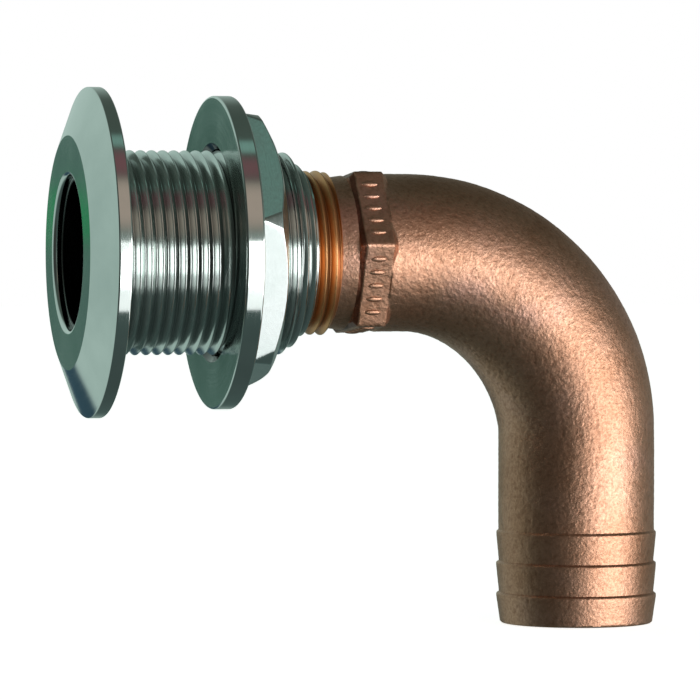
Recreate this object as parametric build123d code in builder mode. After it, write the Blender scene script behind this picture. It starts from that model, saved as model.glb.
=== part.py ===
from build123d import *
import math
import os

# A skin fitting for a boat's hull, with its nut and its hose elbow. All sizes are in millimetres.
# The waterway's axis is X, and +X points inboard. The origin is on that axis, in the plane of the flange
# face that seats on the hull. The flange is outboard, at -X, and the hose tail hangs down, along -Z.
# Screw threads are drawn plain: outside threads as their crests, and inside threads clear of those crests.

# Flange
flange_diameter = 67.5
flange_rim = 2.7  # width of the cylindrical rim, next to the hull
flange_bevel = 3.9  # depth of the cone from the rim out to the flat face
face_diameter = 47.8  # outside of the flat ring around the mouth
rim_edge = 0.35  # rounding of the rim's two edges
face_edge = 0.5  # rounding between the bevel and the flat ring

# Barrel, with the straight pipe thread that the hull nut runs on
barrel_length = 41.9
barrel_diameter = 41.91  # 1 1/4 inch parallel pipe thread, over its crests
barrel_land = 0.25  # flat ring left at the barrel's end, between its chamfer and the socket

# Taper thread between the body and the elbow
taper_crest = 33.7  # diameter over the elbow's crests, where it enters the body
taper_rate = 1 / 16  # change of diameter over length
taper_engaged = 12.6  # length of the elbow's thread inside the body
taper_visible = 5.2  # length of the elbow's thread left outside the body
taper_fit = 0.05  # radial gap between the two threads
socket_relief = 3.0  # length of the socket past the end of the elbow
socket_ledge = 1.3  # radial step from the socket's bottom in to the waterway
socket_runout = 1.2  # length of the cone that makes that step

# Mouth of the waterway
mouth_step = 0.7  # radial step out from the waterway to the mouth
mouth_depth = 2.0  # the wider mouth ends here
mouth_edge = 0.9  # rounding of the mouth

# Hull washer and hull nut
hull_gap = 23.35  # from the flange to the washer
washer_margin = 2.25  # the washer's rim beyond the nut's corners
washer_thickness = 3.85
washer_edge = 0.45
nut_wall = 4.95  # from the barrel's crests to the nut's flats
nut_length = 6.4
nut_face_inset = 0.3  # from a flat in to the circle that the chamfer leaves on the nut's inboard face
nut_chamfer_angle = 30.0  # between that chamfer and the inboard face
nut_corner_trim = 1.0  # how far the corners come in between the washer and the chamfer
nut_clocking = 12.5  # angle from the horizontal to the nut's nearest corner
thread_gap = 0.30  # radial gap between the barrel's crests and the bores around it
bore_lead = 1.2  # chamfer at the ends of those bores

# Elbow, sized around its taper thread
neck_step = 1.4  # radial step from the thread's crests in to the neck
neck_length = 3.7
neck_flare = 0.5  # how much the neck's radius grows towards the collar
collar_inset = 0.85  # from the thread's crests in to the collar's flats
collar_length = 7.7
collar_clocking = 5.0  # angle from the horizontal to the collar's nearest corner
collar_edge = 1.0  # chamfer at the collar's two ends
pipe_inset = 0.5  # radial step from the thread's crests in to the bent pipe
pipe_run = 6.25  # from the collar to the start of the bend
bend_radius = 37.2
tail_run = 40.3  # from the end of the bend to the end of the hose tail
elbow_wall = 3.15
bore_edge = 0.8  # chamfer at the two ends of the elbow's bore

# Hose tail's barbs, from the end of the tail up
barb_count = 3
barb_pitch = 6.5
barb_rise = 0.4  # height of each barb's top over the pipe
barb_sink = 0.15  # depth below the pipe where each ramp starts
barb_land = 0.6  # cylindrical top of each barb
barb_shoulder = 0.35  # short slope on the side away from the tail's end
nose_sink = 0.4  # depth below the pipe at the end, where the first ramp starts


def taper_radius(x):
    """Radius over the elbow's thread crests at x."""
    return (taper_crest + (x - barrel_length) * taper_rate) / 2


# Diameters that follow from the sizes above
elbow_start_x = barrel_length - taper_engaged
socket_end_x = elbow_start_x - socket_relief
socket_mouth = taper_radius(barrel_length) + taper_fit
socket_bottom = taper_radius(socket_end_x) + taper_fit
waterway_diameter = 2 * (socket_bottom - socket_ledge)
mouth_diameter = waterway_diameter + 2 * mouth_step
barrel_chamfer = barrel_diameter / 2 - socket_mouth - barrel_land
nut_across_flats = barrel_diameter + 2 * nut_wall
nut_corner = nut_across_flats / math.sqrt(3)
nut_face_diameter = nut_across_flats - 2 * nut_face_inset
washer_diameter = 2 * (nut_corner + washer_margin)
neck_diameter = taper_crest - 2 * neck_step
collar_across_flats = taper_crest - 2 * collar_inset
pipe_diameter = taper_crest - 2 * pipe_inset
elbow_bore = pipe_diameter - 2 * elbow_wall
barb_crest = pipe_diameter + 2 * barb_rise
barb_root = pipe_diameter - 2 * barb_sink
tail_nose = pipe_diameter - 2 * nose_sink

# Places that follow from the sizes above
face_x = -(flange_rim + flange_bevel)
taper_end_x = barrel_length + taper_visible
collar_x = taper_end_x + neck_length
pipe_x = collar_x + collar_length
bend_x = pipe_x + pipe_run
tail_x = bend_x + bend_radius
tail_end_z = -(bend_radius + tail_run)
washer_back_x = hull_gap + washer_thickness
nut_back_x = washer_back_x + nut_length


def edges_at(part, x, radius):
    """The round edges of a part that lie at x and have this radius."""
    return [
        e
        for e in part.edges().filter_by(GeomType.CIRCLE)
        if abs(e.center().X - x) < 0.01 and abs(e.radius - radius) < 0.01
    ]


# Body: flange, barrel and waterway, one turned casting
with BuildPart() as thru_hull_body:
    with BuildSketch(Plane.XZ):
        with BuildLine():
            Polyline(
                (face_x, mouth_diameter / 2),
                (face_x, face_diameter / 2),
                (-flange_rim, flange_diameter / 2),
                (0, flange_diameter / 2),
                (0, barrel_diameter / 2),
                (barrel_length - barrel_chamfer, barrel_diameter / 2),
                (barrel_length, barrel_diameter / 2 - barrel_chamfer),
                (barrel_length, socket_mouth),
                (socket_end_x, socket_bottom),
                (socket_end_x - socket_runout, waterway_diameter / 2),
                (face_x + mouth_depth, waterway_diameter / 2),
                (face_x + mouth_depth, mouth_diameter / 2),
                close=True,
            )
        make_face()
    revolve(axis=Axis.X)
    fillet(edges_at(thru_hull_body, face_x, mouth_diameter / 2), mouth_edge)
    fillet(edges_at(thru_hull_body, face_x, face_diameter / 2), face_edge)
    fillet(edges_at(thru_hull_body, -flange_rim, flange_diameter / 2), rim_edge)
    fillet(edges_at(thru_hull_body, 0, flange_diameter / 2), rim_edge)
thru_hull_body.part.label = "thru_hull_body"

# Hull washer: a thick turned ring that slides on the barrel
bore_radius = barrel_diameter / 2 + thread_gap
with BuildPart() as hull_washer:
    with BuildSketch(Plane.YZ.offset(hull_gap)):
        Circle(washer_diameter / 2)
        Circle(bore_radius, mode=Mode.SUBTRACT)
    extrude(amount=washer_thickness)
    fillet(edges_at(hull_washer, hull_gap, washer_diameter / 2), washer_edge)
    fillet(edges_at(hull_washer, washer_back_x, washer_diameter / 2), washer_edge)
    chamfer(edges_at(hull_washer, hull_gap, bore_radius), bore_lead)
hull_washer.part.label = "hull_washer"

# Hull nut: a hexagon whose corners come in a little, and are cut back by a cone at its inboard end
chamfer_top = nut_corner - nut_corner_trim
cone_depth = (chamfer_top - nut_face_diameter / 2) * math.tan(math.radians(nut_chamfer_angle))
with BuildPart() as hull_nut:
    with BuildSketch(Plane.YZ.offset(washer_back_x)):
        RegularPolygon(nut_across_flats / 2, 6, major_radius=False, rotation=180 - nut_clocking)
        Circle(bore_radius, mode=Mode.SUBTRACT)
    extrude(amount=nut_length)
    with BuildSketch(Plane.XZ):
        with BuildLine():
            Polyline(
                (washer_back_x, bore_radius - bore_lead),
                (washer_back_x, nut_corner),
                (nut_back_x - cone_depth, chamfer_top),
                (nut_back_x, nut_face_diameter / 2),
                (nut_back_x, bore_radius - bore_lead),
                close=True,
            )
        make_face()
    revolve(axis=Axis.X, mode=Mode.INTERSECT)
    chamfer(edges_at(hull_nut, nut_back_x, bore_radius), bore_lead)
hull_nut.part.label = "hull_nut"


# Elbow: taper thread, neck, hexagonal collar, bent pipe and hose tail, one casting
def barb_outline():
    """Corners of the hose tail's side, as radius and height, from its end up."""
    corners = [(tail_nose / 2, tail_end_z)]
    for i in range(barb_count):
        land_z = tail_end_z + (i + 1) * barb_pitch - barb_shoulder - barb_land
        corners += [
            (barb_crest / 2, land_z),
            (barb_crest / 2, land_z + barb_land),
            (barb_root / 2, land_z + barb_land + barb_shoulder),
        ]
    return corners


barb_top_z = tail_end_z + barb_count * barb_pitch
with BuildPart() as collar:
    with BuildSketch(Plane.YZ.offset(collar_x)):
        RegularPolygon(collar_across_flats / 2, 6, major_radius=False, rotation=180 - collar_clocking)
    extrude(amount=collar_length)
    chamfer(collar.faces().filter_by(Axis.X).edges(), collar_edge)

with BuildLine(Plane.XZ) as centreline:
    start = Line((pipe_x - collar_edge, 0), (bend_x, 0))
    bend = JernArc(start=start @ 1, tangent=start % 1, radius=bend_radius, arc_size=-90)
    Line(bend @ 1, (tail_x, barb_top_z))
with BuildLine(Plane.XZ) as bore_line:
    bore_start = Line((elbow_start_x, 0), (bend_x, 0))
    bore_bend = JernArc(start=bore_start @ 1, tangent=bore_start % 1, radius=bend_radius, arc_size=-90)
    Line(bore_bend @ 1, (tail_x, tail_end_z))

with BuildPart() as hose_elbow:
    with BuildSketch(Plane.XZ):
        with BuildLine():
            Polyline(
                (elbow_start_x, 0),
                (elbow_start_x, taper_radius(elbow_start_x)),
                (taper_end_x, taper_radius(taper_end_x)),
                (taper_end_x, neck_diameter / 2),
                (collar_x, neck_diameter / 2 + neck_flare),
                (collar_x + collar_edge, neck_diameter / 2 + neck_flare),
                (collar_x + collar_edge, 0),
                close=True,
            )
        make_face()
    revolve(axis=Axis.X)
    add(collar.part)
    with BuildSketch(Plane.YZ.offset(pipe_x - collar_edge)):
        Circle(pipe_diameter / 2)
    sweep(path=centreline.line)
    with BuildSketch(Plane.XZ):
        with BuildLine():
            Polyline(
                (tail_x, tail_end_z),
                *[(tail_x + r, z) for r, z in barb_outline()],
                (tail_x, barb_top_z),
                close=True,
            )
        make_face()
    revolve(axis=Axis((tail_x, 0, 0), (0, 0, 1)))
    with BuildSketch(Plane.YZ.offset(elbow_start_x)):
        Circle(elbow_bore / 2)
    sweep(path=bore_line.line, mode=Mode.SUBTRACT)
    chamfer(edges_at(hose_elbow, elbow_start_x, elbow_bore / 2), bore_edge)
    tail_mouth = hose_elbow.faces().sort_by(Axis.Z)[0].inner_wires()[0].edges()
    chamfer(tail_mouth, bore_edge)
hose_elbow.part.label = "hose_elbow"

os.makedirs("parts", exist_ok=True)
export_step(thru_hull_body.part, "parts/thru_hull_body.step")
export_step(hull_washer.part, "parts/hull_washer.step")
export_step(hull_nut.part, "parts/hull_nut.step")
export_step(hose_elbow.part, "parts/hose_elbow.step")
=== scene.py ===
import math

import bmesh
import bpy
import numpy as np
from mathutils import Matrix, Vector, noise


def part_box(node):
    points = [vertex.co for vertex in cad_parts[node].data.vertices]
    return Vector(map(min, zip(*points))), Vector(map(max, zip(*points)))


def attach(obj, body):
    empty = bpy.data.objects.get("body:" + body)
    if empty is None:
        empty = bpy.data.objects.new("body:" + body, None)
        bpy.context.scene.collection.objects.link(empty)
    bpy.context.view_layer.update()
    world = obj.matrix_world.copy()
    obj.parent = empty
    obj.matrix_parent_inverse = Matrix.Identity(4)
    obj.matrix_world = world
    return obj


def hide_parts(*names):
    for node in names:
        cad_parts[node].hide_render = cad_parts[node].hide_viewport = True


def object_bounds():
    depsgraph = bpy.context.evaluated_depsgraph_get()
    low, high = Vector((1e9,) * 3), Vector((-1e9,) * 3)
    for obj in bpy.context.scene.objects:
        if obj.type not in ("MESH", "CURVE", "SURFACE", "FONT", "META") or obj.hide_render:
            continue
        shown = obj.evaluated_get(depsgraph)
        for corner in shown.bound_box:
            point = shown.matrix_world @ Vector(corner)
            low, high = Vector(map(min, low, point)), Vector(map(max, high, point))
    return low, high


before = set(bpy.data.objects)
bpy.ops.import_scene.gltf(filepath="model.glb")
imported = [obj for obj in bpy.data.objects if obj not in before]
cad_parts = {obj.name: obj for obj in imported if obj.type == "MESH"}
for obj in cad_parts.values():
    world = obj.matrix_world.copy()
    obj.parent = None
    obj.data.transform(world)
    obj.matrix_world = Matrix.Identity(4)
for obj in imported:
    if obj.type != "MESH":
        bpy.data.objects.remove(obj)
cad_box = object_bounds()

# Sizes in millimetres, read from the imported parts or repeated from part.py. X is the waterway's axis, and the
# hose tail hangs along -Z.
MM = 0.001
PITCH = 25.4 / 11  # barrel's thread
TAPER_PITCH = 25.4 / 11.5  # elbow's thread
BODY_LOW, BODY_HIGH = (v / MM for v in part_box("thru_hull_body"))
WASHER_LOW, WASHER_HIGH = (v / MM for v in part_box("hull_washer"))
NUT_LOW, NUT_HIGH = (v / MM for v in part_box("hull_nut"))
ELBOW_LOW, _ = (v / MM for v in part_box("hose_elbow"))
FACE_X, BARREL_END = BODY_LOW.x, BODY_HIGH.x
FLANGE_R, RIM_WIDTH, FACE_R = BODY_HIGH.y, 2.7, 23.9
MOUTH_R, WATERWAY_R, MOUTH_DEPTH = 15.81, 15.11, 2.0
CREST_R, THREAD_DEPTH, BARREL_PHASE = 20.955, 1.25, 0.93
SOCKET_END, SOCKET_RUNOUT = 26.3, 1.2
BARREL_CHAMFER = 3.8
TAPER_START, TAPER_END = ELBOW_LOW.x, 47.1
TAPER_DEPTH, TAPER_PHASE, TAPER_FIT = 1.15, 42.51, 0.05
TAPER_CREST, TAPER_RATE = 33.7, 16  # diameter at the barrel's end, and the length in which it grows by 1
WASHER_R = WASHER_HIGH.z
NUT_FLAT_R, NUT_FACE_R, NUT_TRIM, NUT_CLOCKING, NUT_CHAMFER = 25.905, 25.605, 1.0, 12.5, 30.0
NUT_BORE_R, BORE_LEAD, NUT_LEAD = 21.255, 1.2, 0.5
NECK_R, NECK_FLARE, COLLAR_X, COLLAR_LENGTH = 15.45, 0.5, 50.8, 7.7
COLLAR_FLAT_R, COLLAR_EDGE, COLLAR_CLOCKING = 16.0, 1.0, 5.0
PIPE_R, BEND_X, BEND_R, BORE_R, BORE_EDGE = 16.35, 64.75, 37.2, 13.2, 0.8
TAIL_END = ELBOW_LOW.z
BARB_PITCH, BARB_CREST, BARB_ROOT, BARB_LAND = 6.5, 16.75, 16.2, 0.6
BARB_SHOULDER, NOSE_R = 0.35, 15.95


# ---------------------------------------------------------------- mesh helpers
# the third mark is painted shade: how far the colour is darkened at a point to stand for shade in hollows
MARKS = ("cast", "thread", "valley", "height")  # what the materials read at each point
MERGE, SLIVER = 0.004, 0.001  # points closer than MERGE are joined, and edges shorter than SLIVER dissolved


class Skin:
    """Rings of points joined into a mesh. Points are in millimetres."""

    def __init__(self):
        self.points, self.faces, self.values = [], [], []

    def add(self, ring, **values):
        """Adds points and returns their indices; values are what the material reads at each point."""
        first = len(self.points)
        n = len(ring)
        self.points.extend(map(tuple, ring))
        columns = [np.broadcast_to(values.get(k, 0.0), n) for k in MARKS]
        self.values.extend(zip(*columns))
        return np.arange(first, first + n)

    def mark(self, ring, key, value):
        """Changes one value at each of a ring's points."""
        for i in ring:
            row = list(self.values[i])
            row[MARKS.index(key)] = value
            self.values[i] = tuple(row)

    def join(self, a, b):
        """Quads between two rings of the same length."""
        for i in range(len(a)):
            j = (i + 1) % len(a)
            self.faces.append((a[i], a[j], b[j], b[i]))

    def join_all(self, rings):
        for a, b in zip(rings, rings[1:]):
            self.join(a, b)

    def join_helix(self, rows, climb):
        """Quads between rows that climb by this many rows in one turn."""
        n = len(rows[0])
        for r in range(len(rows) - 1):
            for i in range(n - 1):
                self.faces.append((rows[r][i], rows[r][i + 1], rows[r + 1][i + 1], rows[r + 1][i]))
            if r + 1 + climb < len(rows):
                seam = rows[r + climb][0], rows[r + climb + 1][0]
                self.faces.append((rows[r][-1], *seam, rows[r + 1][-1]))

    def build(self, name, sharp=32.0):
        """Makes the object: joins points that coincide, drops slivers, and marks edges over this angle sharp.

        The angle is in degrees.
        """
        mesh = bpy.data.meshes.new(name)
        faces = [tuple(int(i) for i in face) for face in self.faces]
        mesh.from_pydata([Vector(p) * MM for p in self.points], [], faces)
        table = np.array(self.values, np.float32)
        for k, key in enumerate(MARKS):
            layer = mesh.attributes.new(key, "FLOAT", "POINT")
            layer.data.foreach_set("value", np.ascontiguousarray(table[:, k]))
        b = bmesh.new()
        b.from_mesh(mesh)
        bmesh.ops.remove_doubles(b, verts=b.verts, dist=MERGE * MM)
        bmesh.ops.dissolve_degenerate(b, edges=b.edges, dist=SLIVER * MM)
        bmesh.ops.recalc_face_normals(b, faces=b.faces)
        b.to_mesh(mesh)
        b.free()
        mesh.shade_smooth()
        mesh.set_sharp_from_angle(angle=math.radians(sharp))
        obj = bpy.data.objects.new(name, mesh)
        bpy.context.scene.collection.objects.link(obj)
        return obj


def angles(count):
    return np.arange(count) * 2 * math.pi / count


def ring(x, r, theta):
    """A ring round the X axis; theta runs from +Y to +Z."""
    return np.stack([np.broadcast_to(x, theta.shape), r * np.cos(theta), r * np.sin(theta)], axis=1)


HOLD = 0.03  # the flat beside a rounded corner starts this far from it, so that its shading stays flat


def rounded(points, radii, steps=5):
    """A line of (x, r) corners with some of them rounded.

    radii maps a corner's place in the list to its radius.
    """
    out = []
    for i, p in enumerate(points):
        radius = radii.get(i, 0.0)
        if not radius:
            out.append(p)
            continue
        a, c, b = Vector(points[i - 1]), Vector(p), Vector(points[i + 1])
        u, v = (a - c).normalized(), (b - c).normalized()
        half = u.angle(v) / 2
        reach = radius / math.tan(half)
        centre = c + (u + v).normalized() * (radius / math.sin(half))
        start, end = c + u * reach - centre, c + v * reach - centre
        out.append(tuple(c + u * (reach + HOLD)))
        out += [tuple(centre + _arc(start, end, k / steps)) for k in range(steps + 1)]
        out.append(tuple(c + v * (reach + HOLD)))
    return out


def _arc(start, end, t):
    """The point a share t of the way round the short arc from start to end, both from the arc's centre."""
    turn = math.atan2(start.x * end.y - start.y * end.x, start.dot(end))
    c, s = math.cos(turn * t), math.sin(turn * t)
    return Vector((start.x * c - start.y * s, start.x * s + start.y * c))


CREST_FLAT, FLANK = 0.03, 0.44  # shares of the pitch: half the crest's flat, and one flank
THREAD_ROOT_SHADE = 0.7  # how much shade is painted into a thread's root, as the material reads it


def thread_shape(t):
    """0 on the thread's crest and 1 at its root, for a share t of the pitch from the crest."""
    d = np.abs(t - np.round(t))
    ramp = np.clip((d - CREST_FLAT) / FLANK, 0, 1)
    return 0.8 * ramp + 0.2 * ramp * ramp * (3 - 2 * ramp)


# where the thread's rows of points lie in one pitch
THREAD_STEPS = (0, 0.03, 0.08, 0.15, 0.25, 0.35, 0.42, 0.47, 0.5, 0.53, 0.58, 0.65, 0.75, 0.85, 0.92, 0.97)


def thread(skin, x0, x1, pitch, phase, crest, depth, theta, least=0.0):
    """A right-hand thread from x0 to x1, with crests at radius crest(x) and roots no lower than least.

    Returns its first and last ring.
    """

    def points(x, turned):
        along = (x - phase) / pitch - turned / (2 * math.pi)
        shape = thread_shape(along)
        r = np.maximum(crest(x) - depth * shape, least)
        return r, shape

    steps = len(THREAD_STEPS)
    first = math.floor((x0 - phase) / pitch) - 1
    last = math.ceil((x1 - phase) / pitch) + 1
    rows = []
    for n in range(first, last):
        for t in THREAD_STEPS:
            x = np.clip(phase + (n + t + theta / (2 * math.pi)) * pitch, x0, x1)
            r, shape = points(x, theta)
            rows.append(skin.add(ring(x, r, theta), valley=shape * THREAD_ROOT_SHADE, thread=1.0))
    skin.join_helix(rows, steps)
    ends = []
    for x in (x0, x1):
        r, shape = points(np.full_like(theta, x), theta)
        ends.append(skin.add(ring(x, r, theta), valley=shape * THREAD_ROOT_SHADE, thread=1.0))
    return ends


def lathe(skin, outline, theta):
    """Turns a line of (x, r) round the X axis, and returns its rings."""
    rings = [skin.add(ring(x, r, theta)) for x, r in outline]
    skin.join_all(rings)
    return rings


def soft_least(a, b, k):
    """The smaller of two lengths, with the corner between them rounded by about k."""
    m = np.minimum(a, b)
    return m - k * np.log(np.exp(-(a - m) / k) + np.exp(-(b - m) / k))


FAR = 1e3  # beyond every part
LEAST_FACING = 0.3  # a flat turned further away than this cosine doesn't bound the hexagon


def hexagon(flat_r, corner, theta, k):
    """The radius of a hexagon at each angle: flat_r to its flats, one corner at angle corner (degrees)."""
    best = np.full_like(theta, FAR)
    for i in range(6):
        away = theta - math.radians(corner + 30 + 60 * i)
        c = np.cos(away)
        r = np.where(c > LEAST_FACING, flat_r / np.maximum(c, LEAST_FACING), FAR)
        best = soft_least(best, r, k)
    return best


# ---------------------------------------------------------------- materials
# Noise scales are per metre, and bump distances are in metres.
def nodes_of(name):
    """A new material, its tree of nodes and its shader."""
    m = bpy.data.materials.new(name)
    m.use_nodes = True
    t = m.node_tree
    return m, t, t.nodes["Principled BSDF"]


def node(tree, kind, inputs=(), **settings):
    """A new node: settings are its properties, and inputs maps a socket to a value or to a socket to link."""
    n = tree.nodes.new("ShaderNode" + kind)
    for k, v in settings.items():
        setattr(n, k, v)
    for k, v in dict(inputs).items():
        if isinstance(v, bpy.types.NodeSocket):
            tree.links.new(v, n.inputs[k])
        else:
            n.inputs[k].default_value = v
    return n


def ramp(tree, value, stops):
    """A colour read from a value: stops are (value, colour) pairs."""
    n = node(tree, "ValToRGB", {0: value})
    e = n.color_ramp.elements
    while len(e) < len(stops):
        e.new(0.5)
    for el, (position, colour) in zip(e, stops):
        el.position, el.color = position, (*colour, 1)
    return n.outputs["Color"]


def grey(v):
    return (v, v, v)


def attribute(tree, name):
    return node(tree, "Attribute", attribute_name=name).outputs["Fac"]


def mix(tree, share, a, b, blend="MIX"):
    """A mix of two colours, each a colour or a socket."""
    n = tree.nodes.new("ShaderNodeMix")
    n.data_type, n.blend_type = "RGBA", blend
    for socket, v in ((n.inputs[0], share), (n.inputs[6], a), (n.inputs[7], b)):
        if isinstance(v, bpy.types.NodeSocket):
            tree.links.new(v, socket)
        else:
            socket.default_value = (*v, 1) if isinstance(v, tuple) and len(v) == 3 else v
    return n.outputs[2]


def turned_coordinates(tree):
    """Coordinates for marks that run round the part as a lathe's do, and the plain object coordinates.

    The first are (along the axis, out from it).
    """
    spot = node(tree, "TexCoord").outputs["Object"]
    xyz = node(tree, "SeparateXYZ", {0: spot})
    flat = node(tree, "CombineXYZ", {1: xyz.outputs[1], 2: xyz.outputs[2]})
    out = node(tree, "VectorMath", {0: flat.outputs[0]}, operation="LENGTH").outputs["Value"]
    return node(tree, "CombineXYZ", {0: xyz.outputs[0], 1: out}).outputs[0], spot


VALLEY_SHADE, THREAD_ROUGH = 0.08, 0.18


def steel(name, colour, dull, rough, grain):
    """Stainless steel: turning marks round the axis, faint smears, and painted shade in thread valleys and
    other hollows.

    rough is the plain surface's roughness, and grain the strength of a cast skin.
    """
    m, t, shader = nodes_of(name)
    turned, spot = turned_coordinates(t)
    marks = node(t, "TexNoise", {"Vector": turned, "Scale": 3200.0, "Detail": 3.0}).outputs[0]
    smears = node(t, "TexNoise", {"Vector": spot, "Scale": 70.0, "Detail": 5.0}).outputs[0]
    fine = node(t, "TexNoise", {"Vector": spot, "Scale": 900.0, "Detail": 4.0}).outputs[0]
    tint = ramp(t, smears, [(0.3, dull), (0.62, colour)])
    # painted shade: the colour darkens towards VALLEY_SHADE of itself where the shade mark is set
    valley = ramp(t, attribute(t, "valley"), [(0.25, grey(0)), (0.7, grey(0.4)), (1.0, grey(1.0))])
    tint = mix(t, valley, tint, tuple(c * VALLEY_SHADE for c in colour))
    t.links.new(tint, shader.inputs["Base Color"])
    low = ramp(t, smears, [(0.35, grey(rough)), (0.7, grey(rough * 1.6 + 0.01))])
    high = ramp(t, marks, [(0.35, grey(0.0)), (0.75, grey(0.06))])
    plain = mix(t, 1.0, low, high, "ADD")
    t.links.new(mix(t, attribute(t, "thread"), plain, grey(THREAD_ROUGH)), shader.inputs["Roughness"])
    ridges = node(t, "Bump", {"Strength": 0.05, "Distance": 0.00003, "Height": marks})
    skin = node(t, "Bump", {"Strength": grain, "Distance": 0.0001, "Height": fine, "Normal": ridges.outputs[0]})
    t.links.new(skin.outputs[0], shader.inputs["Normal"])
    shader.inputs["Metallic"].default_value = 1.0
    return m


CAST_TINTS = [(0.3, (0.46, 0.240, 0.147)), (0.52, (0.55, 0.308, 0.208)), (0.72, (0.62, 0.358, 0.275))]
TURNED_TINT, TURNED_SHADE, TURNED_ROUGH = (0.68, 0.35, 0.15), (0.36, 0.14, 0.05), 0.38


def bronze(name):
    """Red bronze: a sand-cast skin where cast is 1, and bright turned metal where it is 0."""
    m, t, shader = nodes_of(name)
    turned, spot = turned_coordinates(t)
    cast = attribute(t, "cast")
    height = attribute(t, "height")
    blotch = node(t, "TexNoise", {"Vector": spot, "Scale": 55.0, "Detail": 6.0, "Roughness": 0.6}).outputs[0]
    grains = node(t, "TexNoise", {"Vector": spot, "Scale": 2300.0, "Detail": 3.0, "Roughness": 0.6}).outputs[0]
    pits = node(t, "TexVoronoi", {"Vector": spot, "Scale": 1500.0}, feature="F1").outputs["Distance"]
    marks = node(t, "TexNoise", {"Vector": turned, "Scale": 2600.0, "Detail": 3.0}).outputs[0]
    cast_tint = ramp(t, blotch, CAST_TINTS)
    # painted shade in the cast skin's low grains and pits, read from the height mark
    painted_pit_shade = ramp(t, height, [(0.15, (0.70, 0.64, 0.60)), (0.55, grey(1.0))])
    cast_tint = mix(t, 1.0, cast_tint, painted_pit_shade, "MULTIPLY")
    speck = ramp(t, grains, [(0.35, (0.86, 0.84, 0.83)), (0.6, grey(1.0))])
    cast_tint = mix(t, 1.0, cast_tint, speck, "MULTIPLY")
    # painted shade: darkens the cast skin where the shade mark is set, which is the collar's shoulder that
    # faces the nut
    painted_shade_tint = ramp(t, attribute(t, "valley"), [(0.0, grey(1)), (1.0, (0.34, 0.24, 0.22))])
    cast_tint = mix(t, 1.0, cast_tint, painted_shade_tint, "MULTIPLY")
    # painted shade at the turned thread's roots, mixed towards TURNED_SHADE
    valley = ramp(t, attribute(t, "valley"), [(0.2, grey(0)), (0.7, grey(0.85))])
    turned_tint = mix(t, valley, TURNED_TINT, TURNED_SHADE)
    t.links.new(mix(t, cast, turned_tint, cast_tint), shader.inputs["Base Color"])
    rough_cast = ramp(t, grains, [(0.3, grey(0.50)), (0.75, grey(0.34))])
    t.links.new(mix(t, cast, grey(TURNED_ROUGH), rough_cast), shader.inputs["Roughness"])
    ridges = node(t, "Bump", {"Strength": 0.12, "Distance": 0.00005, "Height": marks})
    sand = node(t, "Bump", {"Strength": 0.6, "Distance": 0.00010, "Height": grains})
    sand = node(t, "Bump", {"Strength": 0.25, "Distance": 0.00012, "Height": pits, "Normal": sand.outputs[0]})
    normal = mix(t, cast, ridges.outputs[0], sand.outputs[0])
    t.links.new(normal, shader.inputs["Normal"])
    shader.inputs["Metallic"].default_value = 1.0
    return m


polished = steel("polished_stainless", (0.66, 0.70, 0.68), (0.56, 0.61, 0.59), 0.07, 0.02)
cast_steel = steel("cast_stainless", (0.66, 0.70, 0.69), (0.54, 0.60, 0.58), 0.14, 0.16)
cast_bronze = bronze("cast_bronze")


def finish_piece(obj, body, cad_node, material):
    """Gives a piece its material and body, and hides the CAD node it stands for if there is one."""
    obj.data.materials.append(material)
    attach(obj, body)
    if cad_node:
        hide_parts(cad_node)


# ---------------------------------------------------------------- body: flange, threaded barrel and waterway
def barrel_crest(x):
    """The barrel thread's crest radius, drawn in by the chamfer at its inboard end."""
    return np.minimum(CREST_R, BODY_END_R + (BARREL_END - x))


def taper_crest(x):
    """The taper thread's crest radius."""
    return (TAPER_CREST + (x - BARREL_END) / TAPER_RATE) / 2


BODY_END_R = CREST_R - BARREL_CHAMFER
THREAD_FROM = 0.7
MOUTH_SHADE, STEP_REACH = 0.85, 0.4  # painted shade on the bore and on the step at the foot of the mouth
theta = angles(192)
socket_line = [(x, taper_crest(x) + TAPER_FIT) for x in (BARREL_END, SOCKET_END)]
skin = Skin()
outside = rounded(
    [
        socket_line[-1],
        (SOCKET_END - SOCKET_RUNOUT, WATERWAY_R),
        (FACE_X + MOUTH_DEPTH, WATERWAY_R),
        (FACE_X + MOUTH_DEPTH, MOUTH_R),
        (FACE_X, MOUTH_R),
        (FACE_X, FACE_R),
        (-RIM_WIDTH, FLANGE_R),
        (0.0, FLANGE_R),
        (0.0, CREST_R - THREAD_DEPTH),
    ],
    {3: 0.15, 4: 0.9, 5: 0.5, 6: 0.35, 7: 0.35},
)
flange = lathe(skin, outside, theta)
# painted shade on the mouth's bore and on its step
for rim, (x, r) in zip(flange, outside):
    if r < MOUTH_R + 0.05 and x > FACE_X + MOUTH_DEPTH - STEP_REACH:
        skin.mark(rim, "valley", MOUTH_SHADE)
start, end = thread(
    skin, THREAD_FROM, BARREL_END, PITCH, BARREL_PHASE, barrel_crest, THREAD_DEPTH, theta, BODY_END_R
)
skin.join(flange[-1], start)
socket = lathe(skin, socket_line, theta)
skin.join(end, socket[0])
fitting = skin.build("skin_fitting")
finish_piece(fitting, "body", "thru_hull_body", polished)

# ---------------------------------------------------------------- washer
theta = angles(256)
skin = Skin()
outline = rounded(
    [
        (WASHER_HIGH.x, NUT_BORE_R),
        (WASHER_LOW.x + BORE_LEAD, NUT_BORE_R),
        (WASHER_LOW.x, NUT_BORE_R + BORE_LEAD),
        (WASHER_LOW.x, WASHER_R),
        (WASHER_HIGH.x, WASHER_R),
        (WASHER_HIGH.x, NUT_BORE_R),
    ],
    {1: 0.2, 2: 0.2, 3: 0.45, 4: 0.45},
)
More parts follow.
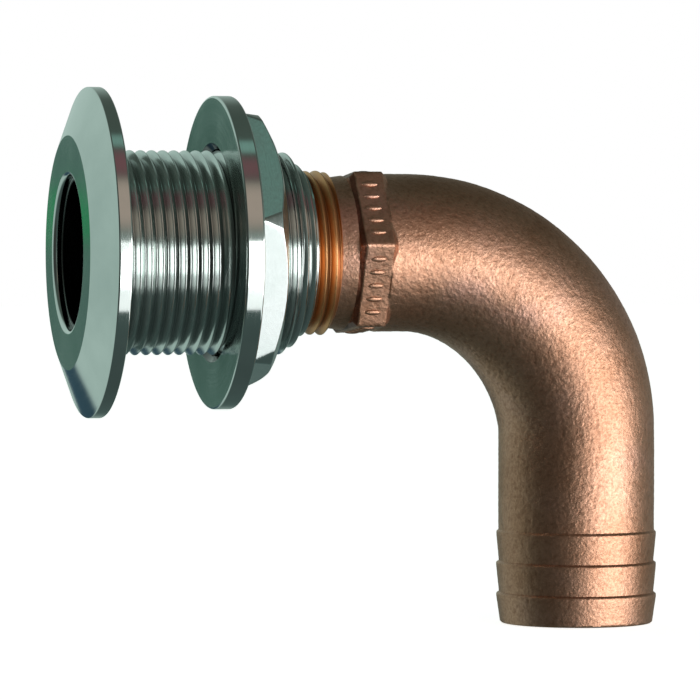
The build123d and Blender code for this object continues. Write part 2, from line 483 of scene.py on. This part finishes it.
# painted shade on the washer's bore and its lead-in
for rim, (x, r) in zip(lathe(skin, outline, theta), outline):
    if r < NUT_BORE_R + BORE_LEAD + 0.1:
        skin.mark(rim, "valley", 1.0)
washer = skin.build("washer_ring")
finish_piece(washer, "washer", "hull_washer", polished)

# ---------------------------------------------------------------- nut
theta = angles(720)
skin = Skin()
nut_back, nut_front = NUT_LOW.x, NUT_HIGH.x
chamfer_top = NUT_FLAT_R / math.cos(math.pi / 6) - NUT_TRIM
chamfer_slope = math.tan(math.radians(NUT_CHAMFER))
cone_start = nut_front - (chamfer_top - NUT_FACE_R) * chamfer_slope
hex_r = hexagon(NUT_FLAT_R, 180 - NUT_CLOCKING, theta, 0.10)


def nut_radius(x):
    """The nut's hexagon at x, with its corners trimmed and its inboard face chamfered."""
    trim = chamfer_top + NUT_TRIM * (cone_start - x) / (cone_start - nut_back)
    cone = NUT_FACE_R + (nut_front - x) / chamfer_slope
    trimmed = soft_least(hex_r, np.full_like(theta, trim), 0.05)
    return soft_least(trimmed, np.full_like(theta, cone), 0.06)


NUT_EDGE = 0.15  # bevel round the nut's back
rings = [
    skin.add(ring(nut_back, NUT_BORE_R, theta)),
    skin.add(ring(nut_back, nut_radius(nut_back) - NUT_EDGE, theta)),
]
sides = np.linspace(nut_back + 0.6, cone_start - 0.1, 8)
chamfer = np.linspace(cone_start, nut_front, 26)
for x in np.concatenate([[nut_back + NUT_EDGE], sides, chamfer]):
    rings.append(skin.add(ring(x, nut_radius(x), theta)))
rings.append(skin.add(ring(nut_front, NUT_BORE_R + NUT_LEAD + 0.05, theta)))
# painted shade on the nut's lead-in at its front
rings.append(skin.add(ring(nut_front, NUT_BORE_R + NUT_LEAD, theta), valley=1.0))
rings.append(skin.add(ring(nut_front - NUT_LEAD, NUT_BORE_R, theta), valley=1.0))
rings.append(rings[0])
skin.join_all(rings)
nut = skin.build("nut_hex", sharp=24.0)
finish_piece(nut, "nut", "hull_nut", cast_steel)

# ---------------------------------------------------------------- elbow
SAND_STEP = 0.36  # between rings of the cast skin
NECK_SKIN, COLLAR_SKIN, BARB_SKIN = 0.6, 0.8, 0.6  # strength of the cast skin, where 1 is the pipe's
BEND_FULLER, BEND_SKEW = 0.95, 1.25  # extra radius inside the bend, and its shift towards the tail
TAIL_X = BEND_X + BEND_R
theta = angles(320)
skin = Skin()


def cast_height(p):
    """How far the cast skin stands out at a point, in millimetres: grains, pits and a slow waviness."""
    v = Vector(p)
    grains = noise.noise(v) * 0.032 + noise.noise(v / 0.6 + Vector((7, 3, 1))) * 0.050
    slow = noise.noise(v / 11 + Vector((2, 9, 4))) * 0.08
    return grains + slow, grains


def outwards(out):
    """Unit vectors round a ring: theta = 0 is +Y, and 90 degrees is the direction out."""
    side = np.array((0.0, 1.0, 0.0))
    return np.cos(theta)[:, None] * side + np.sin(theta)[:, None] * np.array(out)


def cast_ring(centre, out, r, strength=1.0):
    """A ring of the cast skin; r is one radius, or one for each point."""
    rays = outwards(out)
    base = np.array(centre) + np.reshape(r, (-1, 1)) * rays
    lift = np.array([cast_height(p) for p in base])
    moved = base + rays * (lift[:, 0] * strength)[:, None]
    return skin.add(moved, cast=1.0, height=0.5 + lift[:, 1] * 7)


def along_x(x, r, strength=1.0):
    return cast_ring((x, 0, 0), (0, 0, 1), r, strength)


collar_end = COLLAR_X + COLLAR_LENGTH


def collar_radius(x):
    """The collar's hexagon, drawn in at both ends, over the neck on one side and the pipe on the other."""
    inside = min(x - COLLAR_X, collar_end - x)
    inset = max(0.0, COLLAR_EDGE - inside)
    hexa = hexagon(COLLAR_FLAT_R - inset, 180 - COLLAR_CLOCKING, theta, 0.12)
    under = NECK_R + NECK_FLARE * 0.6 if x < collar_end - COLLAR_EDGE else PIPE_R
    return -soft_least(-hexa, np.full_like(theta, -float(under)), 0.10)


def bend_radius_at(share):
    """The pipe's radius round the bend: the casting is fuller on the inside of the bend."""
    fuller = BEND_FULLER * math.sin(math.pi * share**BEND_SKEW)
    inner = ((1 - np.sin(theta)) / 2) ** 2
    return PIPE_R + fuller * inner


def bend_place(share):
    """The pipe's middle a share of the way round the bend, and the direction away from the bend's centre."""
    a = share * math.pi / 2
    middle = (BEND_X + BEND_R * math.sin(a), 0, -BEND_R * (1 - math.cos(a)))
    return middle, (math.sin(a), 0, math.cos(a))


def steps_between(a, b, step):
    """Evenly spaced places from a to b, about step apart."""
    return np.linspace(a, b, max(2, int(round(abs(b - a) / step)) + 1))


# inlet end, then the taper thread
bore_in = skin.add(ring(TAPER_START, BORE_R + BORE_EDGE, theta))
start, end = thread(skin, TAPER_START, TAPER_END, TAPER_PITCH, TAPER_PHASE, taper_crest, TAPER_DEPTH, theta)
skin.join(bore_in, start)
runout = skin.add(ring(TAPER_END + 0.15, NECK_R + 0.25, theta), cast=0.0)
rings = [end, runout]
for x in steps_between(TAPER_END + 0.3, COLLAR_X - 0.05, 0.35):
    flare = NECK_FLARE * (x - TAPER_END) / (COLLAR_X - TAPER_END)
    rings.append(along_x(x, NECK_R + flare, NECK_SKIN))
for x in steps_between(COLLAR_X, collar_end, 0.26):
    rings.append(along_x(x, collar_radius(x), COLLAR_SKIN))
    if x < COLLAR_X + COLLAR_EDGE * 0.8:  # painted shade on the shoulder that faces the nut
        skin.mark(rings[-1], "valley", 1.0)
for x in steps_between(collar_end + 0.35, BEND_X, SAND_STEP):
    rings.append(along_x(x, PIPE_R))
bend_length = BEND_R * math.pi / 2
for share in steps_between(0, 1, SAND_STEP / bend_length)[1:]:
    rings.append(cast_ring(*bend_place(share), bend_radius_at(share)))


def down(z, r, strength=1.0):
    return cast_ring((TAIL_X, 0, z), (1, 0, 0), r, strength)


barb_top = TAIL_END + 3 * BARB_PITCH
for z in steps_between(-BEND_R, barb_top + 0.1, SAND_STEP)[1:]:
    rings.append(down(z, PIPE_R))
for i in (2, 1, 0):
    shoulder = TAIL_END + (i + 1) * BARB_PITCH
    land_top, land_low = shoulder - BARB_SHOULDER, shoulder - BARB_SHOULDER - BARB_LAND
    ramp_low = TAIL_END + i * BARB_PITCH if i else TAIL_END + 0.3
    ramp_r = BARB_ROOT if i else NOSE_R + 0.03
    above = PIPE_R if i == 2 else BARB_ROOT
    rings.append(down(shoulder, above, BARB_SKIN))
    rings.append(down(land_top, BARB_CREST - 0.08, BARB_SKIN))
    for z in steps_between(land_top - 0.12, land_low, 0.25):
        rings.append(down(z, BARB_CREST, BARB_SKIN))
    for z in steps_between(land_low, ramp_low, SAND_STEP)[1:]:
        share = (land_low - z) / (land_low - ramp_low)
        rings.append(down(z, BARB_CREST + (ramp_r - BARB_CREST) * share, BARB_SKIN))
end_r = NOSE_R - 0.3
tail_rim = [(TAIL_X + end_r * math.sin(a), end_r * math.cos(a), TAIL_END) for a in theta]
rings.append(skin.add(np.array(tail_rim)))
skin.join_all(rings)


def plain_ring(centre, out, r):
    """A ring of the bore, which is smooth."""
    return skin.add(np.array(centre) + r * outwards(out), cast=0.9, height=0.45)


bore = [rings[-1], plain_ring((TAIL_X, 0, TAIL_END), (1, 0, 0), BORE_R + BORE_EDGE)]
bore += [plain_ring((TAIL_X, 0, z), (1, 0, 0), BORE_R) for z in (TAIL_END + BORE_EDGE, -BEND_R)]
bore += [plain_ring(*bend_place(share), BORE_R) for share in np.linspace(1, 0, 40)[1:]]
bore += [plain_ring((TAPER_START + BORE_EDGE, 0, 0), (0, 0, 1), BORE_R), bore_in]
skin.join_all(bore)
elbow = skin.build("elbow_casting", sharp=40.0)
finish_piece(elbow, "elbow", "hose_elbow", cast_bronze)

# ---------------------------------------------------------------- plain raised bars on the collar's flats
BAR_LONG, BAR_WIDE, BAR_HEIGHT, BAR_SUNK = 1.7, 0.6, 0.40, 0.35
BAR_SHIFTS, BAR_ALONG = (-6.0, -3.0, 0.0, 3.0, 6.0), 0.48  # across the flat, and as a share of the collar
BAR_SIDES, BAR_RINGS, BAR_SPREAD = 20, 5, 1.12
skin = Skin()
for flat in range(6):
    facing = math.radians(180 - COLLAR_CLOCKING + 30 + 60 * flat)
    outward = np.array((0.0, math.cos(facing), math.sin(facing)))
    across = np.array((0.0, -math.sin(facing), math.cos(facing)))
    forward = np.array((1.0, 0.0, 0.0))
    for shift in BAR_SHIFTS:
        base = outward * COLLAR_FLAT_R + across * shift + forward * (COLLAR_X + COLLAR_LENGTH * BAR_ALONG)
        turn = angles(BAR_SIDES)
        circle = np.cos(turn)[:, None] * forward * BAR_LONG + np.sin(turn)[:, None] * across * BAR_WIDE
        rings = [skin.add(base + circle * BAR_SPREAD - outward * BAR_SUNK, cast=1.0, height=0.6)]
        for k in range(BAR_RINGS):
            up = math.radians(90 * k / BAR_RINGS)
            rim = base + circle * math.cos(up) + outward * BAR_HEIGHT * math.sin(up)
            rings.append(skin.add(rim, cast=1.0, height=0.6))
        skin.join_all(rings)
        top = skin.add([base + outward * BAR_HEIGHT], cast=1.0, height=0.7)[0]
        low = skin.add([base - outward * BAR_SUNK], cast=1.0, height=0.5)[0]
        for i in range(BAR_SIDES):
            j = (i + 1) % BAR_SIDES
            skin.faces.append((rings[-1][i], rings[-1][j], top))
            skin.faces.append((rings[0][j], rings[0][i], low))
bars = skin.build("collar_bars", sharp=60.0)
finish_piece(bars, "elbow", None, cast_bronze)


# ---------------------------------------------------------------- camera, light, floor
def stand(obj, at, towards):
    """Puts a camera or light at a place, facing another."""
    obj.location = at
    obj.rotation_mode = "QUATERNION"
    obj.rotation_quaternion = (Vector(towards) - Vector(at)).to_track_quat("-Z", "Y")


def direction(azimuth, elevation):
    """A unit vector from the object: azimuth 0 is -Y, the side that faces the camera, and 90 is +X."""
    a, e = math.radians(azimuth), math.radians(elevation)
    return Vector((math.sin(a) * math.cos(e), -math.cos(a) * math.cos(e), math.sin(e)))


CAMERA_AZIMUTH, CAMERA_ELEVATION, CAMERA_DISTANCE = -14.7, 1.2, 0.900
AIM = Vector((0.0527, -0.0006, -0.0201))
camera_data = bpy.data.cameras.new("camera")
camera_data.lens, camera_data.sensor_width = 223.7, 36.0
camera_data.clip_start, camera_data.clip_end = 0.05, 50.0
camera = bpy.data.objects.new("camera", camera_data)
bpy.context.scene.collection.objects.link(camera)
stand(camera, AIM + direction(CAMERA_AZIMUTH, CAMERA_ELEVATION) * CAMERA_DISTANCE, AIM)
bpy.context.scene.camera = camera


LIT = Vector((0.045, 0, -0.02))  # what the lights face


def softbox(name, azimuth, elevation, distance, width, height, power):
    """A white rectangular light, in metres and watts."""
    data = bpy.data.lights.new(name, "AREA")
    data.shape, data.size, data.size_y = "RECTANGLE", width, height
    data.energy = power
    light = bpy.data.objects.new(name, data)
    bpy.context.scene.collection.objects.link(light)
    stand(light, LIT + direction(azimuth, elevation) * distance, LIT)
    light.visible_camera = False


softbox("key_softbox", 38, -8, 1.0, 1.10, 0.62, 10.0)
softbox("low_softbox", 34, -33, 1.0, 1.00, 0.28, 1.2)

world = bpy.data.worlds.new("studio")
world.use_nodes = True
bpy.context.scene.world = world
t = world.node_tree
out = t.nodes["World Output"]
back = t.nodes["Background"]
spot = node(t, "TexCoord").outputs["Generated"]
up = node(t, "SeparateXYZ", {0: spot}).outputs[2]
height01 = node(t, "MapRange", {"Value": up, "From Min": -1.0, "From Max": 1.0}).outputs[0]
colour = ramp(
    t,
    height01,
    [
        (0.0, (0.06, 0.085, 0.08)),
        (0.30, (0.08, 0.125, 0.115)),
        (0.45, (0.16, 0.22, 0.20)),
        (0.56, (0.28, 0.34, 0.31)),
        (0.66, (0.13, 0.16, 0.14)),
        (0.92, (0.07, 0.095, 0.08)),
    ],
)


def smooth_share(value, low, high):
    """0 where the value is at low and 1 where it is at high, with a smooth step between."""
    limits = {"Value": value, "From Min": low, "From Max": high}
    return node(t, "MapRange", limits, interpolation_type="SMOOTHSTEP").outputs[0]


def patch_share(azimuth, elevation, half, soft):
    """1 in a round patch of the sky and 0 outside it: half is its half angle, and soft that of its edge."""
    d = tuple(direction(azimuth, elevation))
    near = node(t, "VectorMath", {0: spot, 1: d}, operation="DOT_PRODUCT").outputs["Value"]
    outer, inner = math.cos(math.radians(half + soft)), math.cos(math.radians(max(half - soft, 0)))
    return smooth_share(near, outer, inner)


PATCHES = (  # azimuth, elevation, half angle, softness and colour, each laid over those before it
    (217, 6, 48, 14, (0.46, 0.60, 0.55)),  # behind, to the left: the flange's bevel shows this
    (189, -13, 11, 3, (0.035, 0.075, 0.10)),
    (192.5, -1.5, 6.0, 1.5, (0.085, 0.165, 0.135)),
    (194.3, 0.0, 1.9, 0.7, (0.045, 0.085, 0.07)),
    (-55, 0, 40, 15, (0.045, 0.05, 0.045)),  # dark at the front left: the hose tail's left side shows this
    (12, 34, 15, 8, (0.46, 0.37, 0.31)),
    (12, 64, 9, 7, (0.20, 0.09, 0.10)),
    (67.5, 74, 5, 3, (0.20, 0.36, 0.31)),
)
for azimuth, elevation, half, soft, tint in PATCHES:
    colour = mix(t, patch_share(azimuth, elevation, half, soft), colour, tint)

# a thin green line low in the sky behind
above = smooth_share(up, 0.003, 0.006)
below = smooth_share(up, 0.017, 0.013)
band = node(t, "Math", {0: above, 1: below}, operation="MULTIPLY").outputs[0]
green = patch_share(189.9, 0.6, 1.9, 0.3)
band = node(t, "Math", {0: band, 1: green}, operation="MULTIPLY").outputs[0]
colour = mix(t, band, colour, (0.0, 0.30, 0.085))
t.links.new(colour, back.inputs["Color"])
back.inputs["Strength"].default_value = 1.0
white = node(t, "Background", {"Color": (1, 1, 1, 1), "Strength": 1.0})
seen = node(t, "LightPath").outputs["Is Camera Ray"]
both = node(t, "MixShader", {0: seen, 1: back.outputs[0], 2: white.outputs[0]})
t.links.new(both.outputs[0], out.inputs["Surface"])

floor_mesh = bpy.data.meshes.new("floor")
reach, floor_z = 6.0, cad_box[0].z - 0.0002
corners = [(x * reach, y * reach, floor_z) for x, y in ((-1, -1), (1, -1), (1, 1), (-1, 1))]
floor_mesh.from_pydata(corners, [], [(0, 1, 2, 3)])
floor = bpy.data.objects.new("floor", floor_mesh)
bpy.context.scene.collection.objects.link(floor)
pale, tree, shader = nodes_of("pale_floor")
clouds = node(tree, "TexNoise", {"Scale": 4.0, "Detail": 2.0}).outputs[0]
tone = ramp(tree, clouds, [(0.3, grey(0.90)), (0.7, grey(0.93))])
tree.links.new(tone, shader.inputs["Base Color"])
shader.inputs["Roughness"].default_value = 0.9
shader.inputs["Emission Color"].default_value = (1, 1, 1, 1)
shader.inputs["Emission Strength"].default_value = 0.85
floor_mesh.materials.append(pale)
floor.visible_glossy = floor.visible_diffuse = floor.visible_shadow = False
bpy.context.scene.view_settings.view_transform = "Standard"
